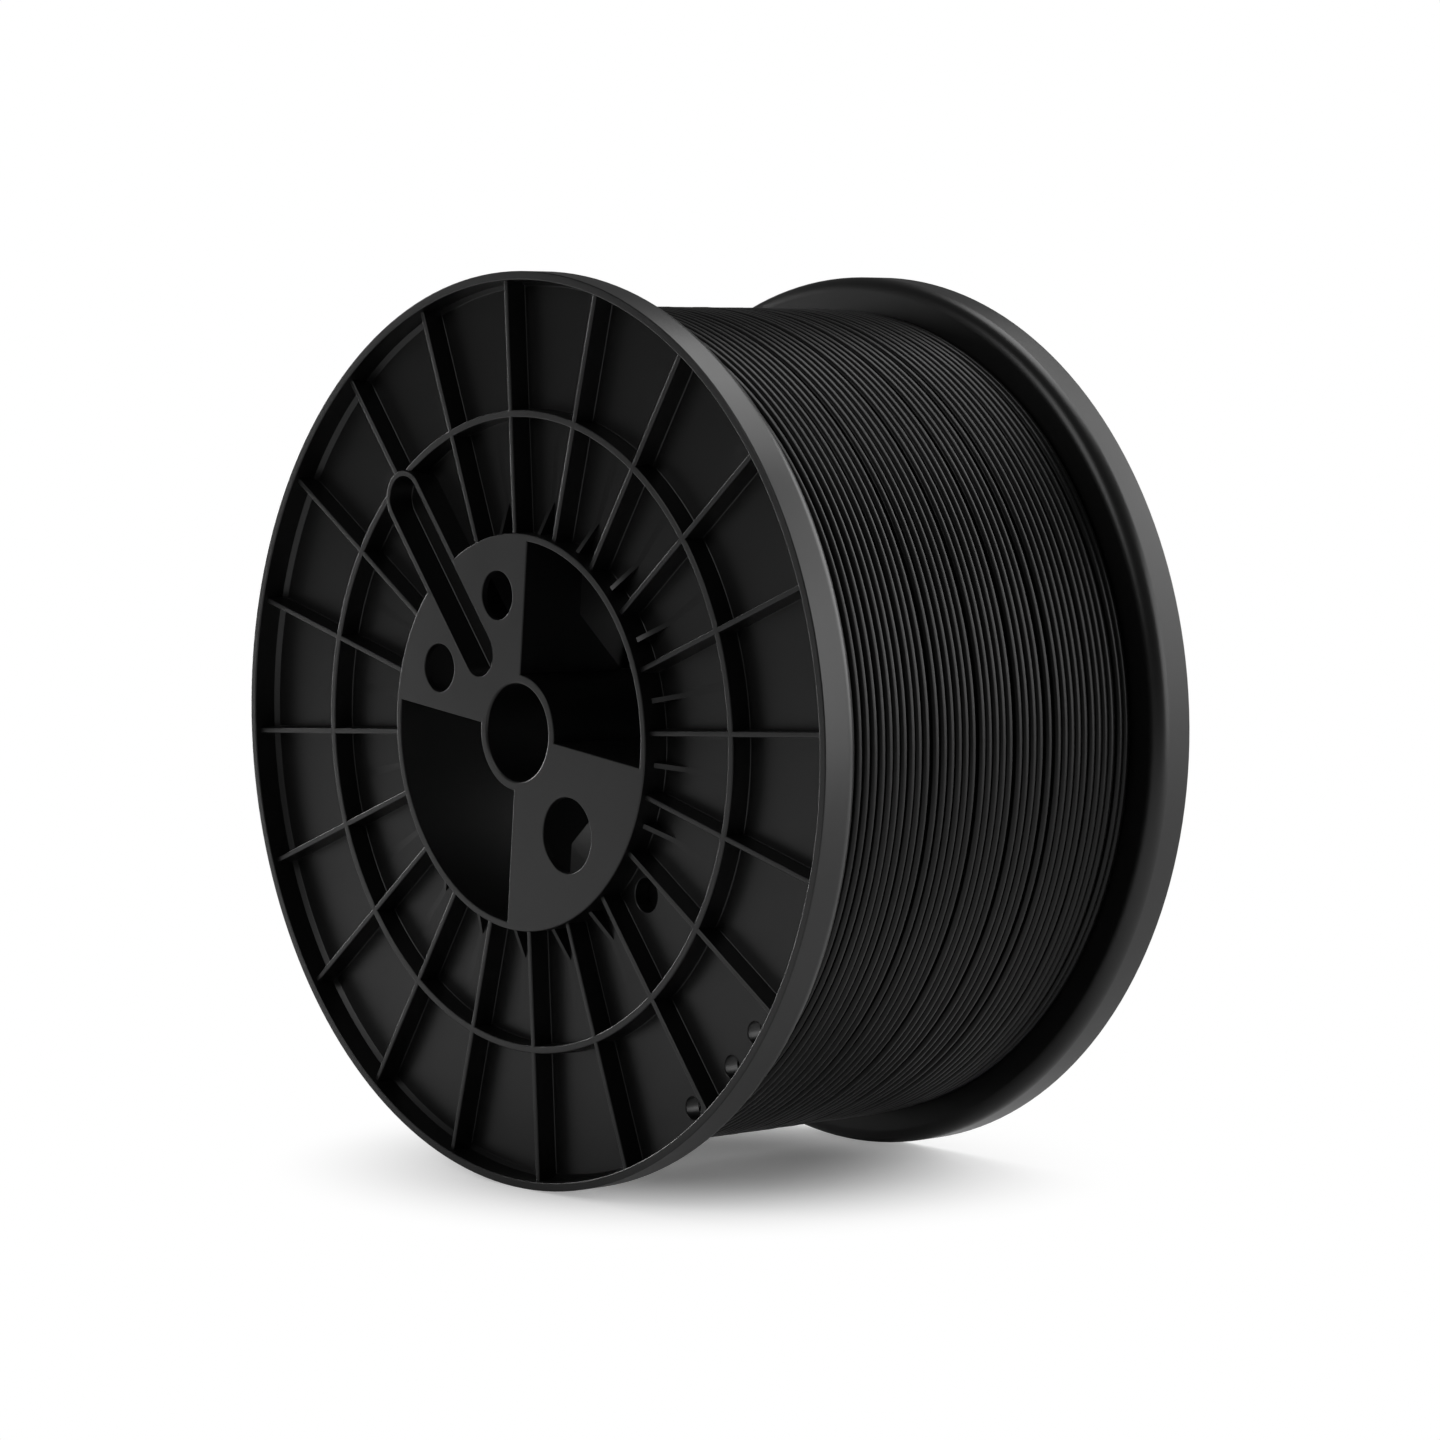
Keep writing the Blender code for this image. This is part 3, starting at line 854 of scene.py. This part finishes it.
class SPOOL_OT_flanges(Operator):
    """Model the flange once and stand one copy at each end"""
    bl_idname = "spool.flanges"
    bl_label = "Flanges"

    def execute(self, context):
        finish = settings().finish
        moulding = whole_flange(settings().flange)
        material = moulded_plastic("black_moulded_abs", finish.moulding,
                                   finish.moulding_roughness)
        moulding.data.materials.clear()
        moulding.data.materials.append(material)
        for node, heading, offset in (("front_flange", 0.0, -WIDTH / 2),
                                      ("back_flange", 180.0, WIDTH / 2)):
            shape = bpy.data.objects.new(node + "_moulding", moulding.data.copy())
            context.collection.objects.link(shape)
            shape.data.transform(on_axis(heading, offset))
            smooth(shape)
            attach(shape, "root")
            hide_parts(node)
        bpy.data.objects.remove(moulding)
        return {"FINISHED"}


class SPOOL_OT_drum(Operator):
    """Model the drum that the filament is wound on"""
    bl_idname = "spool.drum"
    bl_label = "Drum"

    def execute(self, context):
        finish = settings().finish
        shape = drum_tube(settings().winding)
        shape.data.transform(on_axis())
        shape.data.materials.append(moulded_plastic("black_extruded_abs", finish.drum,
                                                    finish.moulding_roughness))
        smooth(shape)
        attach(shape, "root")
        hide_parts("drum")
        return {"FINISHED"}


class SPOOL_OT_winding(Operator):
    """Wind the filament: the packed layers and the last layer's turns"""
    bl_idname = "spool.winding"
    bl_label = "Winding"

    def execute(self, context):
        finish = settings().finish
        material = extruded_filament("black_pla_filament", finish.filament,
                                     finish.filament_roughness)
        for shape in (winding_core(settings().winding), last_layer(settings().winding)):
            shape.data.transform(on_axis())
            shape.data.materials.append(material)
            if shape.type == "MESH":
                smooth(shape)
            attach(shape, "root")
            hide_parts("filament")
        return {"FINISHED"}


class SPOOL_OT_stage(Operator):
    """Set the floor, the soft light and the camera"""
    bl_idname = "spool.stage"
    bl_label = "Studio"

    def execute(self, context):
        bm = bmesh.new()
        bmesh.ops.create_circle(bm, cap_ends=True, segments=FLOOR_FACETS, radius=FLOOR_RADIUS)
        floor = new_object("floor", bm)
        floor.location.z = FLOOR_HEIGHT
        floor.data.materials.append(seamless_floor("white_sweep"))
        context.scene.world = white_studio("white_studio")
        for softbox in SOFTBOXES:
            add_softbox(*softbox)
        lens = bpy.data.cameras.new("camera")
        lens.lens = CAMERA_LENS
        lens.clip_start = CAMERA_NEAR
        camera = bpy.data.objects.new("camera", lens)
        camera.location = CAMERA_PLACE
        camera.rotation_euler = (radians(90.0 - CAMERA_ELEVATION), 0.0, radians(CAMERA_AZIMUTH))
        context.collection.objects.link(camera)
        context.scene.camera = camera
        context.scene.view_settings.view_transform = "Standard"
        return {"FINISHED"}


class SPOOL_PT_panel(Panel):
    """The spool's sizes, finishes and build steps"""
    bl_idname = "SPOOL_PT_panel"
    bl_label = "Filament spool"
    bl_space_type = "VIEW_3D"
    bl_region_type = "UI"
    bl_category = "Spool"

    def draw(self, context):
        spool = settings()
        for part in ("flange", "winding", "finish"):
            box = self.layout.box()
            box.label(text=spool.bl_rna.properties[part].name)
            group = getattr(spool, part)
            for key in group.__annotations__:
                box.prop(group, key)
        for operator in OPERATORS:
            self.layout.operator(operator.bl_idname)


OPERATORS = (SPOOL_OT_flanges, SPOOL_OT_drum, SPOOL_OT_winding, SPOOL_OT_stage)
CLASSES = (FlangeSettings, WindingSettings, FinishSettings, SpoolSettings,
           *OPERATORS, SPOOL_PT_panel)


def register():
    """Add the classes and the scene's settings."""
    for item in CLASSES:
        bpy.utils.register_class(item)
    bpy.types.Scene.spool = PointerProperty(type=SpoolSettings)


def unregister():
    """Take them away again."""
    del bpy.types.Scene.spool
    for item in reversed(CLASSES):
        bpy.utils.unregister_class(item)


def main():
    """Build the spool and its studio."""
    register()
    bpy.ops.spool.flanges()
    bpy.ops.spool.drum()
    bpy.ops.spool.winding()
    bpy.ops.spool.stage()


if __name__ == "__main__":
    main()
